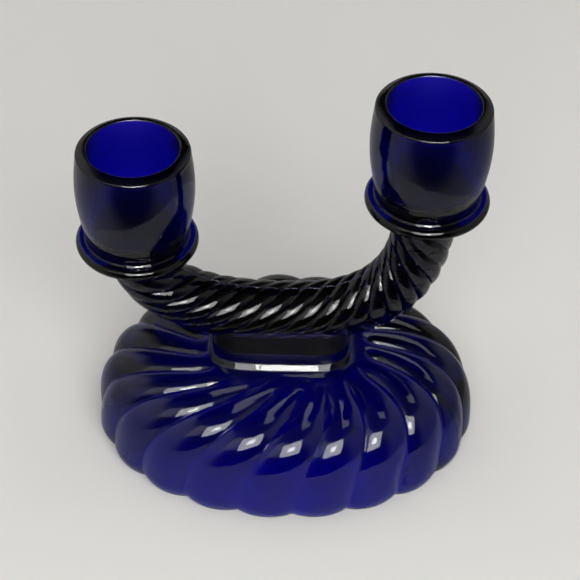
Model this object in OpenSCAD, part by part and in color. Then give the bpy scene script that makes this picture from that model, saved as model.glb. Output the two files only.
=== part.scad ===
// Twin candlestick in pressed cobalt glass: an oval foot with swirled ribs, a rope-twist arm on a
// plinth, and two candle cups with drip rings at different heights. The arm lies along X.

/* [Foot] */
// Length of the foot along the arm, over the ribs
foot_length = 106.6; // [98:0.1:116]
// Depth of the foot, over the ribs
foot_depth = 79.9; // [74:0.1:88]
// Height of the foot's crown, where the ribs start
crown_height = 28.8; // [25:0.1:29]
// Squareness of the foot's section, 2 is an ellipse
crown_squareness = 3.4; // [2.6:0.1:4]
// Number of swirled ribs round the foot
rib_count = 20; // [16:2:24]
// Depth of the grooves between the ribs at the rim
rib_depth = 1.7; // [1:0.1:2.4]
// Fullness of the ribs' section, 1 is a half sine and less is flatter on top
rib_fullness = 0.6; // [0.5:0.05:1]
// Turn of a groove from the crown down to the rim, in degrees
rib_swirl = 25.8; // [0:0.1:40]
// Thickness of the glass under the foot's grooves
foot_wall = 2.6; // [2.4:0.1:6]
// Thickness of the glass in the foot's crown
crown_wall = 6; // [3:0.1:8]

/* [Plinth] */
// Length of the plinth under the arm
plinth_length = 37.8; // [34:0.1:40]
// Width of the plinth
plinth_width = 14.4; // [12.6:0.1:14.4]
// Height of the plinth's foot above the table
plinth_base = 32; // [31.5:0.1:33]

/* [Arm] */
// Diameter of the arm, over its strands
arm_diameter = 16.6; // [15:0.1:17]
// Height of the arm's axis at its lowest point
arm_low = 41.9; // [41:0.1:43]
// Number of strands in the rope twist
strand_count = 7; // [5:1:9]
// Depth of the grooves between the strands
strand_depth = 0.9; // [0.4:0.1:1.2]
// Length of arm in which a strand turns once
strand_pitch = 40; // [28:1:60]

/* [Cups] */
// Distance between the two cups' axes
cup_spacing = 75.8; // [70:0.1:82]
// Height of the left cup's mouth
left_mouth = 96.9; // [92:0.1:100]
// Height of the right cup's mouth
right_mouth = 113; // [105:0.1:120]
// Height of a cup's mouth above its drip ring's edge
cup_height = 30.3; // [28:0.1:34]
// Widest diameter of a cup
cup_diameter = 31.4; // [30:0.1:32]
// Diameter of the mouth at its lip
mouth_diameter = 23.8; // [23.4:0.1:25]
// Diameter of the straight candle socket
socket_diameter = 22.7; // [22.3:0.1:23]
// Depth of the candle socket below the lip
socket_depth = 25.5; // [22:0.1:26]
// Diameter of a drip ring
ring_diameter = 32.6; // [32:0.1:36]
// Thickness of a drip ring
ring_thickness = 3.2; // [2.6:0.1:3.6]

/* [Hidden] */
$fn = 96;
glass = "#1b1a86";

// Foot: ring by ring from the middle of the crown down to the rim
groove_phase = 273.4;      // direction of the groove nearest the front
arc_evening = 1.2;         // evens the ribs out along the oval rim, in degrees
crown_oval = [22, 17.5];   // half axes of the oval where the ribs start
shelf_inner = [19.1, 7.6];  // half axes of the shelf's inner edge, round the plinth
shelf_outer = [19.5, 10.6]; // and of its shoulder
shelf_squareness = 4;
// Share of the way from the inner edge to the shoulder, and drop below the plinth's foot
shelf_profile = [[0, 0], [0.45, 0.25], [0.85, 0.8], [1, 1.25], [1.08, 1.9], [1.2, 2.4]];
shelf_ease = 2;            // rings between the shoulder and the crown
rim_tuck = 1.5;            // how far the rim turns in at the table
tuck_height = 5;           // height below which it turns in
swirl_ease = 1.76;         // how much faster a groove turns near the crown
groove_fade = 9;           // length over which a groove reaches its full depth, front and back
steps_per_rib = 8;
dome_steps = 16;
hollow_steps = 9;
rim_grind = 1;             // glass ground off the rim
round_steps = rib_count * steps_per_rib;
plinth_middle = -1.5;      // the plinth stands a little to the left of the foot's middle

// Arm: two quarter superellipses that meet at the lowest point
arm_low_x = -1.7;
left_squareness = 2.3;
right_squareness = 2.6;
cup_middle = -2.05;        // middle between the cups
strand_phase = 4.2;        // where a groove crosses the top of the arm
strand_steps = 6;
arm_steps = 88;
strand_crest = arm_diameter / 2;
left_x = cup_middle - cup_spacing / 2;
right_x = cup_middle + cup_spacing / 2;
left_ring_z = left_mouth - cup_height;
right_ring_z = right_mouth - cup_height;

// Cup's outline, heights from the drip ring's widest circle
lip_drop = 1.1;            // the lip's outer edge lies this much below its inner edge
lip_radius = 14.9;
cup_foot_radius = 13.4;
lead_in = 7;               // length of the flare from the socket up to the lip

// ---- Foot ----

// Points of the dome's section: how far out from 0 to 1, and how high from 1 to 0
function dome_angle(i) = 45 * (1 - cos(180 * i / dome_steps));
function dome_out(i) = pow(sin(dome_angle(i)), 2 / crown_squareness);
function dome_up(i) = pow(cos(dome_angle(i)), 2 / crown_squareness);
function tuck(z) = z < tuck_height ? rim_tuck * pow(1 - z / tuck_height, 2) : 0;
function dome_oval(i) = [for (k = [0, 1])
    crown_oval[k] + ([foot_length, foot_depth][k] / 2 - crown_oval[k]) * dome_out(i)];

// Outward slope of the dome's section, from 0 on the crown to 1 on the side wall
function wall_share(i) = let (o = pow(dome_out(i), crown_squareness - 1),
    u = pow(dome_up(i), crown_squareness - 1)) o / norm([o, u]);

// Length along the section from the crown, by a running sum
function section_step(i) = norm([mean(dome_oval(i)) - mean(dome_oval(i - 1)),
    crown_height * (dome_up(i) - dome_up(i - 1))]);
function mean(pair) = (pair[0] + pair[1]) / 2;
section_run = [for (i = 0, s = 0; i <= dome_steps;
    i = i + 1, s = s + (i <= dome_steps ? section_step(i) : 0)) s];
section_length = section_run[dome_steps];

// Column j's place round the foot, counted in ribs; columns crowd at the grooves
function rib_place(j) = let (t = j / steps_per_rib) t - 0.5 * sin(360 * t) / (2 * PI);

// Direction of column j in a ring whose grooves are turned by the given angle
function column_angle(j, turn) = let (a = groove_phase + 360 * rib_place(j) / rib_count + turn)
    a + arc_evening * sin(2 * a);
function groove_share(j) = 1 - pow(abs(sin(180 * rib_place(j))), rib_fullness);

// The grooves deepen faster towards the two ends of the oval
function fade_at(a) = groove_fade * (1 + 2 * pow(sin(a), 2)) / 3;
function groove_turn(run) = rib_swirl * pow(1 - run / section_length, swirl_ease);

function dome_ring(i) = let (o = dome_oval(i), z = crown_height * dome_up(i), w = wall_share(i))
    [for (j = [0:round_steps - 1])
        let (a = column_angle(j, groove_turn(section_run[i])),
             d = rib_depth * groove_share(j) * min(1, pow(section_run[i] / fade_at(a), 0.8)),
             out = [cos(a) / o[0], sin(a) / o[1]] / norm([cos(a) / o[0], sin(a) / o[1]]))
        [(o[0] - tuck(z)) * cos(a) - d * w * out[0],
         (o[1] - tuck(z)) * sin(a) - d * w * out[1],
         max(0, z - d * sqrt(1 - w * w))]];

// The shelf slopes gently from the plinth to a rounded shoulder, which eases out to the crown
function shelf_point(a, k) = let (half = shelf_inner * (1 - k) + shelf_outer * k, n = shelf_squareness)
    [half[0] * cos(a), half[1] * sin(a)] / pow(pow(abs(cos(a)), n) + pow(abs(sin(a)), n), 1 / n)
        + [plinth_middle, 0];
function shelf_ring(i) = let (last = len(shelf_profile) - 1, row = shelf_profile[min(i, last)],
        e = max(0, i - last) / (shelf_ease + 1),
        z = (plinth_base - row[1]) * pow(1 - e, 2) + crown_height * (1 - pow(1 - e, 2)))
    [for (j = [0:round_steps - 1])
        let (a = column_angle(j, rib_swirl), p = shelf_point(a, row[0]) * (1 - e)
            + [crown_oval[0] * cos(a), crown_oval[1] * sin(a)] * e)
        [p[0], p[1], z]];

// The hollow under the foot is a smooth dome of its own
function hollow_ring(i) = let (t = 90 * (1 - i / hollow_steps), o = pow(sin(t), 2 / crown_squareness),
        u = pow(cos(t), 2 / crown_squareness))
    [for (j = [0:round_steps - 1]) let (a = column_angle(j, 0))
        [(foot_length / 2 - rib_depth - foot_wall) * max(o, 0.02) * cos(a),
         (foot_depth / 2 - rib_depth - foot_wall) * max(o, 0.02) * sin(a),
         (crown_height - crown_wall) * u]];

// A closed skin over a stack of rings, each with the same number of points
function stack_faces(rings, around) = concat(
    [[for (j = [0:around - 1]) j]],
    [for (i = [0:rings - 2], j = [0:around - 1], half = [0, 1])
        let (a = i * around + j, b = i * around + (j + 1) % around)
        half == 0 ? [a, a + around, b] : [b, a + around, b + around]],
    [[for (j = [around - 1:-1:0]) (rings - 1) * around + j]]);

function lowered(ring) = [for (p = ring) p - [0, 0, rim_grind]];

module skin(rings) {
    polyhedron(points = [for (ring = rings) each ring],
        faces = stack_faces(len(rings), len(rings[0])), convexity = 8);
}

// The rim is pressed a little too long, then ground flat at the table
module foot() {
    color(glass)
        difference() {
            skin(concat(
                [for (i = [0:len(shelf_profile) - 1 + shelf_ease]) shelf_ring(i)],
                [for (i = [0:dome_steps]) dome_ring(i)],
                [lowered(dome_ring(dome_steps)), lowered(hollow_ring(0))],
                [for (i = [0:hollow_steps]) hollow_ring(i)]));
            translate([-foot_length, -foot_depth, -2 * rim_grind])
                cube([2 * foot_length, 2 * foot_depth, 2 * rim_grind]);
        }
}

// ---- Plinth ----

module stadium(length, width) {
    straight = length - width;
    square([straight, width], center = true);
    for (side = [-1, 1])
        translate([side * straight / 2, 0]) circle(d = width);
}

// A block with round ends that rises to the arm's axis, with the arm's own bed cut out of it
module plinth() {
    color(glass)
        difference() {
            translate([plinth_middle, 0, plinth_base])
                linear_extrude(arm_low - plinth_base) stadium(plinth_length, plinth_width);
            rope();
        }
}

// ---- Arm ----

// Point of the arm's axis for t from -90 (left ring) over 0 (lowest) to 90 (right ring)
function arm_point(t) = let (right = t > 0, n = right ? right_squareness : left_squareness,
        end_x = right ? right_x : left_x,
        end_z = (right ? right_ring_z : left_ring_z) - ring_thickness / 2)
    [arm_low_x + (end_x - arm_low_x) * pow(abs(sin(t)), 2 / n), 0,
     arm_low + (end_z - arm_low) * (1 - pow(cos(t), 2 / n))];

fine = 360;
fine_points = [for (k = [0:fine]) arm_point(180 * k / fine - 90)];
fine_run = [for (k = 0, s = 0; k <= fine;
    k = k + 1, s = s + (k <= fine ? norm(fine_points[k] - fine_points[k - 1]) : 0)) s];
arm_length = fine_run[fine];
x_by_run = [for (k = [0:fine]) [fine_run[k], fine_points[k][0]]];
z_by_run = [for (k = [0:fine]) [fine_run[k], fine_points[k][2]]];
run_at_middle = lookup(0, [for (k = [0:fine]) [fine_points[k][0], fine_run[k]]]);

function on_arm(run) = [lookup(run, x_by_run), 0, lookup(run, z_by_run)];
function arm_heading(run) = run <= 0.5 ? [0, 0, -1] : run >= arm_length - 0.5 ? [0, 0, 1] :
    let (d = on_arm(run + 0.5) - on_arm(run - 0.5)) d / norm(d);

function arm_ring(i) = let (run = arm_length * i / arm_steps, c = on_arm(run),
        d = arm_heading(run), up = [-d[2], 0, d[0]], around = strand_count * strand_steps,
        turn = -360 * (run - run_at_middle - strand_phase) / strand_pitch)
    [for (j = [0:around - 1])
        let (a = turn + 360 * j / around,
             r = strand_crest - strand_depth * (1 - abs(sin(180 * j / strand_steps))),
             p = c + r * (cos(a) * up + sin(a) * [0, -1, 0]))
        p];

module rope() {
    skin([for (i = [0:arm_steps]) arm_ring(i)]);
}

module arm() {
    color(glass) rope();
}

// ---- Drip rings ----

// Outline of a ring: flat underneath, rounded at its edge, with a low step up to the cup
function ring_outline() = let (r = ring_diameter / 2, h = ring_thickness / 2)
    concat([[0, -h]], [[r - h - 1.2, -h]],
        [for (a = [-75:15:75]) [r - h + h * cos(a), h * sin(a)]],
        [[cup_foot_radius + 0.6, h], [cup_foot_radius + 0.2, h + 0.5],
         [0, h + 0.5]]);

module drip_ring(x, z) {
    color(glass)
        translate([x, 0, z])
            rotate_extrude() polygon(ring_outline());
}

module left_drip_ring() drip_ring(left_x, left_ring_z);
module right_drip_ring() drip_ring(right_x, right_ring_z);

// ---- Candle cups ----

// Half outline of a cup: barrel outside, sloping lip, flared mouth, straight socket, round floor
cup_bottom = ring_thickness / 2 + 0.5;
belly_height = 0.62;   // share of the cup's height where it is widest
function barrel_radius(k) = let (peak = cup_diameter / 2, low = cup_foot_radius)
    k < belly_height ? low + (peak - low) * sin(90 * k / belly_height)
        : lip_radius + (peak - lip_radius) * cos(90 * (k - belly_height) / (1 - belly_height));

function cup_outline() = let (top = cup_height, edge = top - lip_drop - 1, floor = top - socket_depth,
        rs = socket_diameter / 2, rm = mouth_diameter / 2, barrel = edge - cup_bottom)
    concat([[0, cup_bottom]],
        [for (k = [0:0.0625:1]) [barrel_radius(k), cup_bottom + barrel * k]],
        [for (a = [0:30:60]) [lip_radius - 1 + cos(a) * 1, edge + 0.4 + sin(a) * 0.8]],
        [[rm + 0.4, top - 0.1], [rm, top - 0.4]],
        [for (k = [0.25:0.25:1]) [rs + (rm - rs) * pow(1 - k, 1.6), top - 0.4 - (lead_in - 0.4) * k]],
        [[rs, floor + 3]],
        [for (a = [20:20:80]) [rs - 3 + 3 * cos(a), floor + 3 - 3 * sin(a)]],
        [[0, floor]]);

module candle_cup(x, z) {
    color(glass)
        translate([x, 0, z])
            rotate_extrude() polygon(cup_outline());
}

module left_candle_cup() candle_cup(left_x, left_ring_z);
module right_candle_cup() candle_cup(right_x, right_ring_z);

foot();
plinth();
arm();
left_drip_ring();
right_drip_ring();
left_candle_cup();
right_candle_cup();
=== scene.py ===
"""Visual model of a twin candlestick in pressed cobalt glass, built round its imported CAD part.

The glass is one casting. Its seven sub-parts are rebuilt here with finer ribs, strands and lips, and a
mould seam is added along the arm. Where two of them meet, each reaches a hair into the next, so light
passes as in one casting. Sizes are in millimetres until a mesh is made, and lights and stage in metres.
"""
import math

import bpy
import numpy as np
from mathutils import Matrix, Vector


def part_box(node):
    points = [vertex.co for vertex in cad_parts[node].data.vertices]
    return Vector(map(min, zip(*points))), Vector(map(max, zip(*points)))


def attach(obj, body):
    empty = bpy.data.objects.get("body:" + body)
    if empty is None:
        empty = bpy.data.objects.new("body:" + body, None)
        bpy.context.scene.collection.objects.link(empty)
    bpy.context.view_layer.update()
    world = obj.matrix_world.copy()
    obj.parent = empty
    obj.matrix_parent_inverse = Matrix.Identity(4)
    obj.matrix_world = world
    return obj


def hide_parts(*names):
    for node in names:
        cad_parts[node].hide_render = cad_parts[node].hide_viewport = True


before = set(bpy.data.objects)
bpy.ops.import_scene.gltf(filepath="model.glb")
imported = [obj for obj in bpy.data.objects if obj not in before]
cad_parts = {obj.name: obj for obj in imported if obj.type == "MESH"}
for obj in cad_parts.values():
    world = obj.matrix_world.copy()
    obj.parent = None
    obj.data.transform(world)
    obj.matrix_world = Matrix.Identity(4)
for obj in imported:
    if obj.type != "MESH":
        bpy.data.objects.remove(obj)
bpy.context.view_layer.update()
MM = 0.001
REACH = 0.05   # how far a piece reaches into the next one


def cad(node):
    """Lowest and highest corner of a CAD node, in millimetres."""
    return [np.array(corner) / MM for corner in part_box(node)]


# ---- Sizes in millimetres, taken from the CAD nodes where they can be ----

# foot: a superellipse from the crown's oval out to the rim, with ribs that swirl
HALF_FOOT = np.array([53.25, 39.91])
CROWN_HEIGHT, CROWN_SQUARENESS = 28.8, 3.41
CROWN_OVAL = np.array([22.0, 17.5])
# the shelf round the plinth: half sizes of its inner and outer outline
SHELF_INNER, SHELF_OUTER, SHELF_SQUARENESS = np.array([19.1, 7.6]), np.array([19.5, 10.6]), 4
PLINTH_BASE = cad("plinth")[0][2]
PLINTH_MIDDLE = (cad("plinth")[0][0] + cad("plinth")[1][0]) / 2
RIBS, RIB_DEPTH, RIB_SWIRL, SWIRL_EASE, RIB_FULLNESS = 20, 1.7, 25.8, 1.76, 0.6
GROOVE_PHASE, ARC_EVENING, GROOVE_FADE = 273.4, 1.2, 9.0
GROOVE_EDGE = 0.06   # roundness of the bottom of a groove, as a share of a rib
RIM_TUCK, TUCK_HEIGHT, FOOT_WALL, CROWN_WALL = 1.5, 5.0, 2.6, 6.0

rings = {side: cad(side + "_drip_ring") for side in ("left", "right")}
RING_THICKNESS = 3.2
RING_RADIUS = (rings["left"][1][0] - rings["left"][0][0]) / 2
CUP_X = {side: (low[0] + high[0]) / 2 for side, (low, high) in rings.items()}
RING_Z = {side: low[2] + RING_THICKNESS / 2 for side, (low, high) in rings.items()}
CUP_HEIGHT = cad("left_candle_cup")[1][2] - RING_Z["left"]
CUP_RADIUS, LIP_RADIUS, CUP_FOOT_RADIUS = 15.7, 14.9, 13.4
SOCKET_RADIUS, SOCKET_DEPTH, SOCKET_FILLET = 11.35, 25.5, 3.0

ARM_RADIUS, ARM_LOW_X = 8.3, -1.7
ARM_LOW = cad("arm")[0][2] + ARM_RADIUS
SQUARENESS = {"left": 2.3, "right": 2.6}
STRANDS, STRAND_DEPTH, STRAND_PITCH, STRAND_PHASE = 7, 0.62, 40.0, 4.2
STRAND_EDGE, STRAND_FULLNESS = 0.05, 0.5
# how far from the arm's middle the strands begin to fade, and over what length, to the right and left
RIGHT_FADE, LEFT_FADE = (42, 11), (35, 12)
SEAM_MARGIN = {"left": 12, "right": 22}   # the seam ends this far short of the arm's ends
SHARP_ANGLE = 40   # degrees; edges sharper than this aren't shaded smooth


# ---- Mesh helpers ----

def mesh_object(name, points, faces, node, pressed=None):
    """A smooth-shaded piece from points in millimetres. It stands for one CAD node.

    pressed marks the points where the glass is less polished.
    """
    mesh = bpy.data.meshes.new(name)
    points = np.asarray(points) * MM
    first = np.array([face[:3] for face in faces if len(face) == 4])
    a, b, c = (points[first[:, k]] for k in range(3))
    if np.einsum("ij,ij->", a, np.cross(b, c)) < 0:   # the skin is inside out
        faces = [face[::-1] for face in faces]
    mesh.from_pydata([tuple(p) for p in points], [], faces)
    mesh.validate()
    mesh.shade_smooth()
    mesh.set_sharp_from_angle(angle=math.radians(SHARP_ANGLE))
    matt = mesh.attributes.new("pressed", "FLOAT", "POINT")
    matt.data.foreach_set("value", np.zeros(len(points)) if pressed is None else pressed.astype(float))
    piece = bpy.data.objects.new(name, mesh)
    bpy.context.scene.collection.objects.link(piece)
    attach(piece, "root")
    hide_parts(node)
    return piece


def stack(ring_list):
    """Points and faces of a closed skin over rings of equal size, each end closed by a flat cap."""
    count, around = len(ring_list), len(ring_list[0])
    points = np.concatenate(ring_list)
    faces = [tuple(range(around))]
    for i in range(count - 1):
        a, b = i * around, (i + 1) * around
        faces += [(a + j, b + j, b + (j + 1) % around, a + (j + 1) % around) for j in range(around)]
    faces.append(tuple(range((count - 1) * around, count * around))[::-1])
    return points, faces


def lathe(outline, around):
    """A closed turned skin. The outline runs from the axis below, round the outside, to the axis above."""
    radii, heights = np.array(outline[1:-1]).T
    angles = np.radians(360 * np.arange(around) / around)
    points = [(0, 0, outline[0][1])]
    for r, z in zip(radii, heights):
        points += list(zip(r * np.cos(angles), r * np.sin(angles), np.full(around, z)))
    points.append((0, 0, outline[-1][1]))
    last, faces = len(points) - 1, []
    for j in range(around):
        k = (j + 1) % around
        faces.append((0, 1 + k, 1 + j))
        for i in range(len(radii) - 1):
            a, b = 1 + i * around, 1 + (i + 1) * around
            faces.append((a + j, a + k, b + k, b + j))
        a = 1 + (len(radii) - 1) * around
        faces.append((a + j, a + k, last))
    return np.array(points), faces


def arc(centre, radius, start, end, steps):
    """Points of an arc in a lathe's outline, angles in degrees."""
    angles = np.radians(np.linspace(start, end, steps))
    return [(centre[0] + radius * math.cos(a), centre[1] + radius * math.sin(a)) for a in angles]


def soft_lobe(phase, edge, fullness=1.0):
    """Height of a convex lobe, 1 on its crest and 0 in the rounded groove beside it."""
    low, high = edge ** fullness, (1 + edge ** 2) ** (fullness / 2)
    return ((np.sin(phase) ** 2 + edge ** 2) ** (fullness / 2) - low) / (high - low)


def crowded(share, pull=0.75):
    """Spreads even steps over a lobe so that they crowd at its grooves."""
    return share - pull * np.sin(2 * np.pi * share) / (2 * np.pi)


def smooth(k):
    """Eases from 0 to 1 with a level start and end."""
    return k * k * (3 - 2 * k)


# ---- Foot ----

def foot_piece():
    per_rib, dome_steps, shelf_steps, hollow_steps = 30, 80, 10, 18
    around = RIBS * per_rib
    share = crowded((np.arange(around) % per_rib) / per_rib)
    column = np.arange(around) // per_rib + share   # place round the foot, in ribs
    theta = np.radians(45 * (1 - np.cos(np.pi * np.arange(dome_steps + 1) / dome_steps)))
    n = CROWN_SQUARENESS
    out, up = np.sin(theta) ** (2 / n), np.cos(theta) ** (2 / n)
    ovals = CROWN_OVAL + (HALF_FOOT - CROWN_OVAL) * out[:, None]
    steps = np.hypot(np.diff(ovals.mean(1)), np.diff(CROWN_HEIGHT * up))
    run = np.concatenate([[0], np.cumsum(steps)])
    wall = out ** (n - 1) / np.hypot(out ** (n - 1), up ** (n - 1))

    def angles(turn):
        a = GROOVE_PHASE + 360 * column / RIBS + turn
        return np.radians(a + ARC_EVENING * np.sin(np.radians(2 * a)))

    groove = 1 - soft_lobe(np.pi * share, GROOVE_EDGE, RIB_FULLNESS)
    ring_list = []
    # the shelf round the plinth: nearly flat, a rounded shoulder, then it eases out to the crown
    a = angles(RIB_SWIRL)
    c, d = np.cos(a), np.sin(a)
    m = SHELF_SQUARENESS
    corner = np.stack([c, d], 1) / ((np.abs(c) ** m + np.abs(d) ** m) ** (1 / m))[:, None]
    crown = CROWN_OVAL * np.stack([c, d], 1)
    # how far out from the inner to the outer outline, and how far down there
    knee = [0, 0.2, 0.45, 0.65, 0.78, 0.86, 0.91, 0.96, 1.0, 1.1, 1.2, 1.28, 1.33, 1.38, 1.44]
    drop = [0, 0.06, 0.22, 0.41, 0.57, 0.70, 0.82, 0.98, 1.13, 1.5, 1.87, 2.15, 2.29, 2.38, 2.44]
    for k, fall in zip(knee, drop):
        flat = corner * (SHELF_INNER * (1 - k) + SHELF_OUTER * k) + [PLINTH_MIDDLE, 0]
        ring_list.append(np.column_stack([flat, np.full(around, PLINTH_BASE - fall)]))
    for e in np.linspace(0, 1, shelf_steps)[1:-1]:
        z = (PLINTH_BASE - drop[-1]) * (1 - e) ** 2 + CROWN_HEIGHT * (1 - (1 - e) ** 2)
        ring_list.append(np.column_stack([flat * (1 - e) + crown * e, np.full(around, z)]))
    for i in range(dome_steps + 1):
        a = angles(RIB_SWIRL * (1 - run[i] / run[-1]) ** SWIRL_EASE)
        z = CROWN_HEIGHT * up[i]
        tuck = RIM_TUCK * (1 - z / TUCK_HEIGHT) ** 2 if z < TUCK_HEIGHT else 0
        fade = 3 + (GROOVE_FADE - 3) * np.sin(a) ** 2
        depth = RIB_DEPTH * np.minimum(1, (run[i] / fade) ** 0.8) * groove
        normal = np.stack([np.cos(a) / ovals[i][0], np.sin(a) / ovals[i][1]], 1)
        normal /= np.linalg.norm(normal, axis=1)[:, None]
        ring_list.append(np.stack([
            (ovals[i][0] - tuck) * np.cos(a) - depth * wall[i] * normal[:, 0],
            (ovals[i][1] - tuck) * np.sin(a) - depth * wall[i] * normal[:, 1],
            np.maximum(0, z - depth * math.sqrt(1 - wall[i] ** 2))], 1))
    a = angles(0)
    for i in range(hollow_steps + 1):
        t = math.radians(90 * (1 - i / hollow_steps))
        o, u = max(math.sin(t) ** (2 / n), 0.02), math.cos(t) ** (2 / n)
        half = HALF_FOOT - RIB_DEPTH - FOOT_WALL
        ring_list.append(np.stack([half[0] * o * np.cos(a), half[1] * o * np.sin(a),
                                   np.full(around, (CROWN_HEIGHT - CROWN_WALL) * u)], 1))
    points, faces = stack(ring_list)
    pressed = np.arange(len(points)) >= len(points) - around * (hollow_steps + 1)
    return mesh_object("foot_glass", points, faces, "foot", pressed=pressed)


# ---- Arm ----

def arm_axis(samples=2000):
    """Fine points of the arm's axis in its plane, with the length run so far."""
    t = np.radians(np.linspace(-90, 90, samples))
    right = t > 0
    n = np.where(right, SQUARENESS["right"], SQUARENESS["left"])
    end_x = np.where(right, CUP_X["right"], CUP_X["left"])
    end_z = np.where(right, RING_Z["right"], RING_Z["left"]) - RING_THICKNESS / 2 + REACH
    x = ARM_LOW_X + (end_x - ARM_LOW_X) * np.abs(np.sin(t)) ** (2 / n)
    z = ARM_LOW + (end_z - ARM_LOW) * (1 - np.maximum(np.cos(t), 0) ** (2 / n))
    run = np.concatenate([[0], np.cumsum(np.hypot(np.diff(x), np.diff(z)))])
    return x, z, run


class Arm:
    """The arm's axis by length run from its middle, and the depth of its strands there."""

    def __init__(self):
        self.x, self.z, run = arm_axis()
        self.run = run - np.interp(0, self.x, run)
        self.start, self.end = self.run[0], self.run[-1]

    def at(self, s):
        """Centre of the section and its upward direction."""
        ends = [min(s + 0.4, self.end), max(s - 0.4, self.start)]
        d = np.array([np.interp(ends[0], self.run, self.x) - np.interp(ends[1], self.run, self.x), 0,
                      np.interp(ends[0], self.run, self.z) - np.interp(ends[1], self.run, self.z)])
        if s < self.start + 0.4 or s > self.end - 0.4:
            d = np.array([0, 0, -1.0 if s < 0 else 1.0])
        d /= np.linalg.norm(d)
        return np.array([np.interp(s, self.run, self.x), 0, np.interp(s, self.run, self.z)]), \
            np.array([-d[2], 0, d[0]])

    def radius(self, s, a, phase):
        """Radius at angle a from the top; the strands fade out at both ends of the arm."""
        right = (s - RIGHT_FADE[0]) / RIGHT_FADE[1]
        left = (-s - LEFT_FADE[0]) / LEFT_FADE[1]
        fade = 1 - 0.75 * smooth(np.clip(right, 0, 1)) * (0.5 + 0.5 * np.sin(a))
        fade = fade * (1 - 0.5 * smooth(np.clip(left, 0, 1)))
        return ARM_RADIUS - STRAND_DEPTH * fade * (1 - soft_lobe(phase, STRAND_EDGE, STRAND_FULLNESS))


def arm_piece():
    per_strand, steps = 24, 380
    around = STRANDS * per_strand
    arm = Arm()
    ring_list = []
    phase = np.pi * np.arange(around) / per_strand
    for s in np.linspace(arm.start, arm.end, steps + 1):
        centre, up = arm.at(s)
        a = np.radians(-360 * (s - STRAND_PHASE) / STRAND_PITCH + 360 * np.arange(around) / around)
        r = arm.radius(s, a, phase)
        ring_list.append(centre + (r * np.cos(a))[:, None] * up
                         + (r * np.sin(a))[:, None] * np.array([0, -1.0, 0]))
    points, faces = stack(ring_list)
    return mesh_object("arm_glass", points, faces, "arm")


def seam_piece():
    """The fine ridge that the halves of the mould leave along the top of the arm."""
    arm = Arm()
    section = [(-0.30, -0.25), (-0.13, 0.03), (-0.05, 0.09), (0.05, 0.09), (0.13, 0.03), (0.30, -0.25)]
    ring_list = []
    for s in np.linspace(arm.start + SEAM_MARGIN["left"], arm.end - SEAM_MARGIN["right"], 420):
        centre, up = arm.at(s)
        r = arm.radius(s, 0, np.pi * STRANDS * (s - STRAND_PHASE) / STRAND_PITCH)
        ring_list.append(np.array([centre + (r + rise) * up + np.array([0, across, 0])
                                   for across, rise in section]))
    points, faces = stack(ring_list)
    return mesh_object("arm_seam_glass", points, faces, "arm")


# ---- Plinth ----

def plinth_piece():
    """A block with round ends, its top cut out as a bed for the arm. It is slightly matt all over."""
    low, high = cad("plinth")
    length, width = (high - low)[:2]
    x, z, run = arm_axis()
    bed = ARM_RADIUS - STRAND_DEPTH - REACH
    around, levels = 192, 24
    # the outline has straight sides and round ends
    straight = (length - width) / 2
    t = np.linspace(0, 2 * np.pi, around, endpoint=False)
    cs, sn = np.cos(t), np.sin(t)
    ox = PLINTH_MIDDLE + np.where(cs >= 0, straight, -straight) + width / 2 * cs
    oy = width / 2 * sn

    def top(px, py):
        """Height at which the bed in the arm lies over a point."""
        zc = np.interp(px, x, z)
        slope = np.gradient(z, x)
        tilt = np.interp(px, x, slope)
        return zc - np.sqrt(np.maximum(bed ** 2 - py ** 2, 0.04)) * np.sqrt(1 + tilt ** 2)
    ring_list = []
    for k in np.linspace(0.02, 1, 10):
        ring_list.append(np.stack([PLINTH_MIDDLE + (ox - PLINTH_MIDDLE) * k, oy * k,
                                   np.full(around, low[2] - REACH)], 1))
    tops = top(ox, oy)
    for k in np.linspace(0, 1, levels + 1)[1:]:
        ring_list.append(np.stack([ox, oy, low[2] - REACH + (tops - low[2] + REACH) * k], 1))
    for k in np.linspace(1, 0.02, 24)[1:]:
        px, py = PLINTH_MIDDLE + (ox - PLINTH_MIDDLE) * k, oy * k
        ring_list.append(np.stack([px, py, top(px, py)], 1))
    points, faces = stack([ring[::-1] for ring in ring_list])
    return mesh_object("plinth_glass", points, faces, "plinth", pressed=np.ones(len(points)))


# ---- Drip rings and cups ----

def ring_piece(side):
    h, r = RING_THICKNESS / 2, RING_RADIUS
    outline = ([(0, -h), (r - h - 1.2, -h)] + arc((r - h, 0), h, -78, 78, 25)
               + [(14.6, h), (14.1, h + 0.1), (13.8, h + 0.5), (0, h + 0.5)])
    points, faces = lathe(outline, 160)
    points += np.array([CUP_X[side], 0, RING_Z[side]])
    return mesh_object(side + "_drip_ring_glass", points, faces, side + "_drip_ring")


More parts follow.
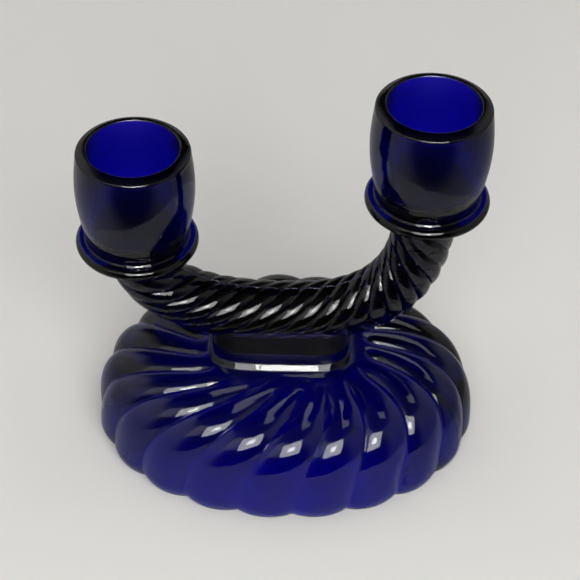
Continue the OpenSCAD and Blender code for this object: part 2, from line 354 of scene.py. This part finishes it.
def cup_piece(side):
    top, floor, belly = CUP_HEIGHT, CUP_HEIGHT - SOCKET_DEPTH, 0.62
    bottom = RING_THICKNESS / 2 + 0.5 - REACH
    edge = top - 2.1
    barrel = []
    for k in np.linspace(0, 1, 41):
        r = (CUP_FOOT_RADIUS + (CUP_RADIUS - CUP_FOOT_RADIUS) * math.sin(math.radians(90 * k / belly))
             if k < belly else
             LIP_RADIUS + (CUP_RADIUS - LIP_RADIUS) * math.cos(math.radians(90 * (k - belly) / (1 - belly))))
        barrel.append((r, bottom + (edge - bottom) * k))
    lip = arc((LIP_RADIUS - 1, edge + 0.3), 1.0, 0, 70, 8)
    inner = arc((12.6, top - 0.75), 0.75, 80, 180, 10)
    flare = [(SOCKET_RADIUS + 0.5 * (1 - k) ** 1.6, top - 1.2 - 5.8 * k) for k in np.linspace(0.1, 1, 10)]
    socket = [(SOCKET_RADIUS, z) for z in np.linspace(top - 9, floor + SOCKET_FILLET, 10)]
    floor_arc = arc((SOCKET_RADIUS - SOCKET_FILLET, floor + SOCKET_FILLET), SOCKET_FILLET, 0, -84, 10)
    outline = [(0, bottom)] + barrel + lip + inner + flare + socket + floor_arc + [(4, floor), (0, floor)]
    points, faces = lathe(outline, 160)
    pressed = (np.hypot(points[:, 0], points[:, 1]) < 12.0) & (points[:, 2] > bottom + 1)
    points += np.array([CUP_X[side], 0, RING_Z[side]])
    return mesh_object(side + "_candle_cup_glass", points, faces, side + "_candle_cup", pressed=pressed)


# ---- Glass ----

def glass_material(name, density, matt_roughness):
    """Clear glass that takes its blue from absorption, with a faint waviness from the mould."""
    mat = bpy.data.materials.new(name)
    mat.use_nodes = True
    nodes, links = mat.node_tree.nodes, mat.node_tree.links
    shader = nodes["Principled BSDF"]
    shader.inputs["Base Color"].default_value = (0.98, 0.98, 1, 1)
    shader.inputs["Transmission Weight"].default_value = 1
    matt = nodes.new("ShaderNodeAttribute")
    matt.attribute_name = "pressed"
    rough = nodes.new("ShaderNodeMath")
    rough.operation = "MULTIPLY"
    rough.inputs[1].default_value = matt_roughness
    links.new(matt.outputs["Fac"], rough.inputs[0])
    links.new(rough.outputs[0], shader.inputs["Roughness"])
    shader.inputs["IOR"].default_value = 1.47
    absorb = nodes.new("ShaderNodeVolumeAbsorption")
    absorb.inputs["Color"].default_value = (0.13, 0.0, 0.85, 1)
    absorb.inputs["Density"].default_value = density
    links.new(absorb.outputs["Volume"], nodes["Material Output"].inputs["Volume"])
    coords = nodes.new("ShaderNodeTexCoord")
    wave = nodes.new("ShaderNodeTexNoise")
    wave.inputs["Scale"].default_value = 180
    wave.inputs["Detail"].default_value = 2
    bump = nodes.new("ShaderNodeBump")
    bump.inputs["Strength"].default_value = 0.1
    bump.inputs["Distance"].default_value = 0.001
    links.new(coords.outputs["Object"], wave.inputs["Vector"])
    links.new(wave.outputs["Fac"], bump.inputs["Height"])
    links.new(bump.outputs["Normal"], shader.inputs["Normal"])
    return mat


# The real glass is one melt. The densities, per metre, and the roughness of the matt parts are set
# by how light or dark each part looks: the hollow foot is lightest, and the solid parts look almost black.
# Painted light and shade: one glass gets a lower density in the foot, to make it lighter, and higher ones in
# the cups, arm and solid parts, to make them darker.
glass = {"foot": glass_material("cobalt_glass_foot", 1050, 0.25),
         "cup": glass_material("cobalt_glass", 1500, 0.3),
         "arm": glass_material("cobalt_glass_arm", 2100, 0.3),
         "other": glass_material("cobalt_glass_solid", 3800, 0.3)}
made = [foot_piece(), arm_piece(), seam_piece(), plinth_piece()]
for side in ("left", "right"):
    made += [ring_piece(side), cup_piece(side)]
for piece in made:
    kind = next((k for k in ("foot", "cup", "arm") if k in piece.name), "other")
    piece.data.materials.append(glass[kind])


# ---- Stage ----

def plain_material(name, colour, rough=0.8):
    mat = bpy.data.materials.new(name)
    mat.use_nodes = True
    shader = mat.node_tree.nodes["Principled BSDF"]
    shader.inputs["Base Color"].default_value = (*colour, 1)
    shader.inputs["Roughness"].default_value = rough
    shader.inputs["Specular IOR Level"].default_value = 0.2
    return mat


def stage_mesh(name, points, faces, material):
    mesh = bpy.data.meshes.new(name)
    mesh.from_pydata(points, [], faces)
    mesh.shade_smooth()
    mesh.materials.append(material)
    obj = bpy.data.objects.new(name, mesh)
    bpy.context.scene.collection.objects.link(obj)
    return obj


def bowl(name, material, floor=1.1, bend=0.5, wall=0.9, around=96):
    """Pale floor that curves up into a low wall all round. Reflections pass through it to the room."""
    profile = [(0.0, 0.0), (floor, 0.0)]
    profile += [(floor + bend * math.sin(a), bend * (1 - math.cos(a)))
                for a in np.radians(np.linspace(5, 90, 18))] + [(floor + bend, wall)]
    points = [(0, 0, 0)]
    for r, z in profile[1:]:
        points += [(r * math.cos(t), r * math.sin(t), z)
                   for t in np.linspace(0, 2 * math.pi, around, endpoint=False)]
    faces = [(0, 1 + j, 1 + (j + 1) % around) for j in range(around)]
    for i in range(len(profile) - 2):
        a, b = 1 + i * around, 1 + (i + 1) * around
        faces += [(a + j, b + j, b + (j + 1) % around, a + (j + 1) % around) for j in range(around)]
    obj = stage_mesh(name, points, faces, material)
    obj.visible_glossy = False
    return obj


def disc(name, material, inner, outer, height, around=96):
    """Flat oval ring, or a full oval where inner is 0; half axes in metres."""
    turn = [2 * math.pi * k / around for k in range(around)]
    points = [(o[0] * math.cos(t), o[1] * math.sin(t), height) for o in (inner, outer) for t in turn]
    faces = [(k, (k + 1) % around, around + (k + 1) % around, around + k) for k in range(around)]
    return stage_mesh(name, points, faces, material)


paper = plain_material("paper", (0.80, 0.79, 0.765))
bowl("backdrop", paper).location.z = -0.0001
# The sheet that the object stands on, as its polished sides mirror it; only reflections see it. Its darker
# paper is painted shade, for the floor shaded near the foot.
shade = plain_material("shaded_paper", (0.45, 0.445, 0.43))
sheet = disc("sheet", shade, (0.049, 0.036), (0.125, 0.108), -0.00006)
below = disc("below", paper, (0.0001, 0.0001), (0.049, 0.036), -0.00006)
for obj in (sheet, below):
    obj.visible_camera = obj.visible_diffuse = obj.visible_transmission = obj.visible_shadow = False


def panel(name, azimuth, elevation, wide, high, radiance, distance=1.3, along=(0, 0, 1)):
    """A flat light that faces the object. Azimuth 0 is behind it and 90 to its right; all in degrees."""
    a, e = math.radians(azimuth), math.radians(elevation)
    place = distance * Vector((math.sin(a) * math.cos(e), math.cos(a) * math.cos(e), math.sin(e)))
    data = bpy.data.lights.new(name, "AREA")
    data.shape = "RECTANGLE"
    data.size = 2 * distance * math.tan(math.radians(wide / 2))
    data.size_y = 2 * distance * math.tan(math.radians(high / 2))
    data.energy = radiance * math.pi * data.size * data.size_y
    lamp = bpy.data.objects.new(name, data)
    bpy.context.scene.collection.objects.link(lamp)
    back = place.normalized()
    across = Vector(along).cross(back).normalized()
    turn = Matrix((across, back.cross(across), back)).transposed()
    lamp.matrix_world = Matrix.Translation(place) @ turn.to_4x4()
    return lamp


softbox = panel("softbox", 176, 36, 40, 34, 7)
core = panel("softbox_core", 176, 36, 12, 11, 18, distance=1.28)
side_window = panel("side_window", -143, 40, 26, 34, 0.7, distance=1.6)
skylight = panel("skylight", 30, 70, 20, 48, 1.4, distance=1.9, along=(0.37, -0.90, 0.22))
for lamp in (softbox, core, side_window, skylight):
    lamp.visible_diffuse = False
ribs = bpy.data.collections.new("ribs")   # the strip overhead shows only in the foot's ribs
ribs.objects.link(made[0])
skylight.light_linking.receiver_collection = ribs
fill = panel("fill", 171, 38, 42, 34, 5.2)
ceiling = panel("ceiling", 0, 82, 60, 50, 0.85, distance=2.4)
for lamp in (fill, ceiling):
    lamp.visible_glossy = False


def room():
    """Soft grey surroundings: brighter to the left, dim at the front and overhead."""
    world = bpy.data.worlds.new("room")
    world.use_nodes = True
    nodes, links = world.node_tree.nodes, world.node_tree.links

    def maths(kind, a, b, c=None):
        node = nodes.new("ShaderNodeMath")
        node.operation = kind
        for socket, value in zip(node.inputs, (a, b, c)):
            if value is None:
                continue
            if isinstance(value, (int, float)):
                socket.default_value = value
            else:
                links.new(value, socket)
        return node.outputs[0]

    def ramp(value, stops):
        node = nodes.new("ShaderNodeValToRGB")
        links.new(value, node.inputs[0])
        elements = node.color_ramp.elements
        while len(elements) < len(stops):
            elements.new(0.5)
        for element, (place, level) in zip(elements, stops):
            element.position = place
            element.color = (level, level, level, 1)
        return node.outputs[0]

    split = nodes.new("ShaderNodeSeparateXYZ")
    links.new(nodes.new("ShaderNodeTexCoord").outputs["Generated"], split.inputs[0])
    x, y, z = split.outputs
    walls = maths("MULTIPLY_ADD", x, -0.14, 0.48)
    height = ramp(maths("MULTIPLY_ADD", z, 0.5, 0.5),
                  [(0.0, 0.6), (0.45, 0.65), (0.57, 0.75), (0.65, 1.0), (0.86, 1.0), (0.92, 0.2), (1.0, 0.1)])
    front = ramp(maths("MULTIPLY", y, -1), [(0.0, 1.0), (0.55, 0.9), (0.78, 0.1), (1.0, 0.06)])
    # a dark opening straight behind, from a little above the table up to the strip overhead
    beside = ramp(maths("ABSOLUTE", x, None), [(0.38, 0.06), (0.55, 1.0)])
    ahead = ramp(y, [(0.10, 1.0), (0.30, 0.0)])
    low = ramp(z, [(0.20, 1.0), (0.34, 0.0)])
    light = maths("MULTIPLY", maths("MULTIPLY", walls, height),
                  maths("MULTIPLY", front, maths("MAXIMUM", maths("MAXIMUM", beside, ahead), low)))
    links.new(light, nodes["Background"].inputs["Strength"])
    nodes["Background"].inputs["Color"].default_value = (1.0, 0.99, 0.97, 1)
    bpy.context.scene.world = world


room()
bpy.context.scene.view_settings.view_transform = "Standard"


# ---- Camera ----

data = bpy.data.cameras.new("camera")
data.lens, data.sensor_width = 113.36, 36
data.clip_start, data.clip_end = 0.01, 20
camera = bpy.data.objects.new("camera", data)
bpy.context.scene.collection.objects.link(camera)
PAN, PITCH, ROLL = 0.35, 41.74, 1.17   # degrees
camera.matrix_world = (Matrix.Translation(Vector((3.07, -370.1, 379.7)) * MM)
                       @ Matrix.Rotation(math.radians(PAN), 4, "Z")
                       @ Matrix.Rotation(math.radians(90 - PITCH), 4, "X")
                       @ Matrix.Rotation(math.radians(ROLL), 4, "Z"))
bpy.context.scene.camera = camera
